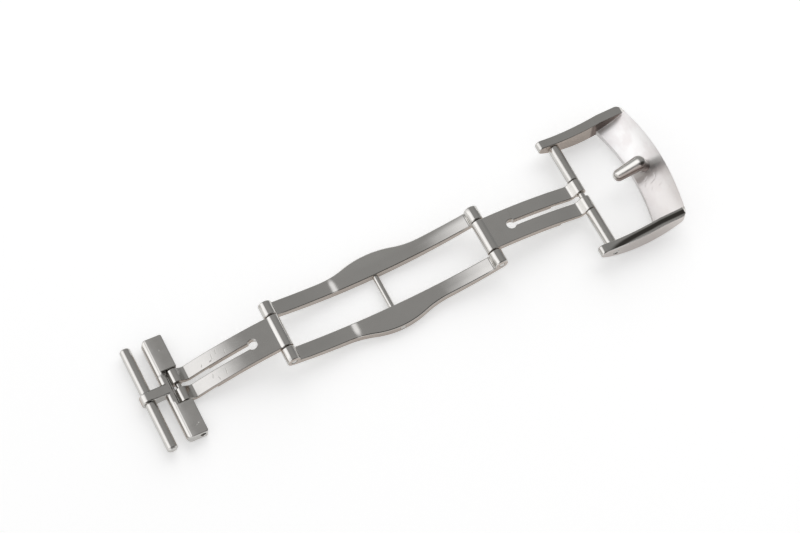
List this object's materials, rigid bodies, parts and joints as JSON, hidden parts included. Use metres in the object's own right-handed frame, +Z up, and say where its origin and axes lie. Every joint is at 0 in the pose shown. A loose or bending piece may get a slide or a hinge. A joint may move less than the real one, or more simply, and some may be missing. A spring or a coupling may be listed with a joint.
{
  "type": "deployant clasp",
  "caption": "Folding clasp for a watch strap: bowed frame with hinged split blades, a strap block with a bar, and a buckle with a fixed tang. It lies open with the wrist side up.",
  "frame": {"origin": "on the table under the open clasp, in the middle of its length and width", "axes": "+X along the strap, from the block to the buckle; +Y across the strap, away from the viewer; +Z up, towards the wrist"},
  "size_m": [0.0852, 0.0208, 0.0057],
  "materials": {
    "rails": "polished",
    "pins": "satin",
    "blades": "polished",
    "block": "polished",
    "bar": "polished",
    "buckle": "polished",
    "tang": "polished"
  },
  "bodies": {
    "frame": {"rail_near": "rails", "rail_far": "rails", "cross_pin": "pins", "hinge_pin_strap": "pins", "hinge_pin_buckle": "pins"},
    "strap_blade": {"blade_strap": "blades"},
    "buckle_blade": {"blade_buckle": "blades"},
    "block": {"strap_block": "block", "block_pin": "pins", "strap_bar": "bar"},
    "tang_buckle": {"buckle": "buckle", "buckle_axle": "bar", "tang": "tang"}
  },
  "joints": [
    {"name": "strap_blade_hinge", "type": "hinge", "parent": "frame", "child": "strap_blade", "pos_m": [-0.02041, 0, 0.00346], "axis": [0, -1, 0], "range_deg": [0, 150]},
    {"name": "buckle_blade_hinge", "type": "hinge", "parent": "frame", "child": "buckle_blade", "pos_m": [0.01339, 0, 0.00346], "axis": [0, 1, 0], "range_deg": [0, 155]},
    {"name": "block_hinge", "type": "hinge", "parent": "strap_blade", "child": "block", "pos_m": [-0.03658, 0, 0.00102], "axis": [0, 1, 0], "range_deg": [0, 140]},
    {"name": "buckle_hinge", "type": "hinge", "parent": "buckle_blade", "child": "tang_buckle", "pos_m": [0.02969, 0, 0.0022], "axis": [0, -1, 0], "range_deg": [0, 148]}
  ]
}
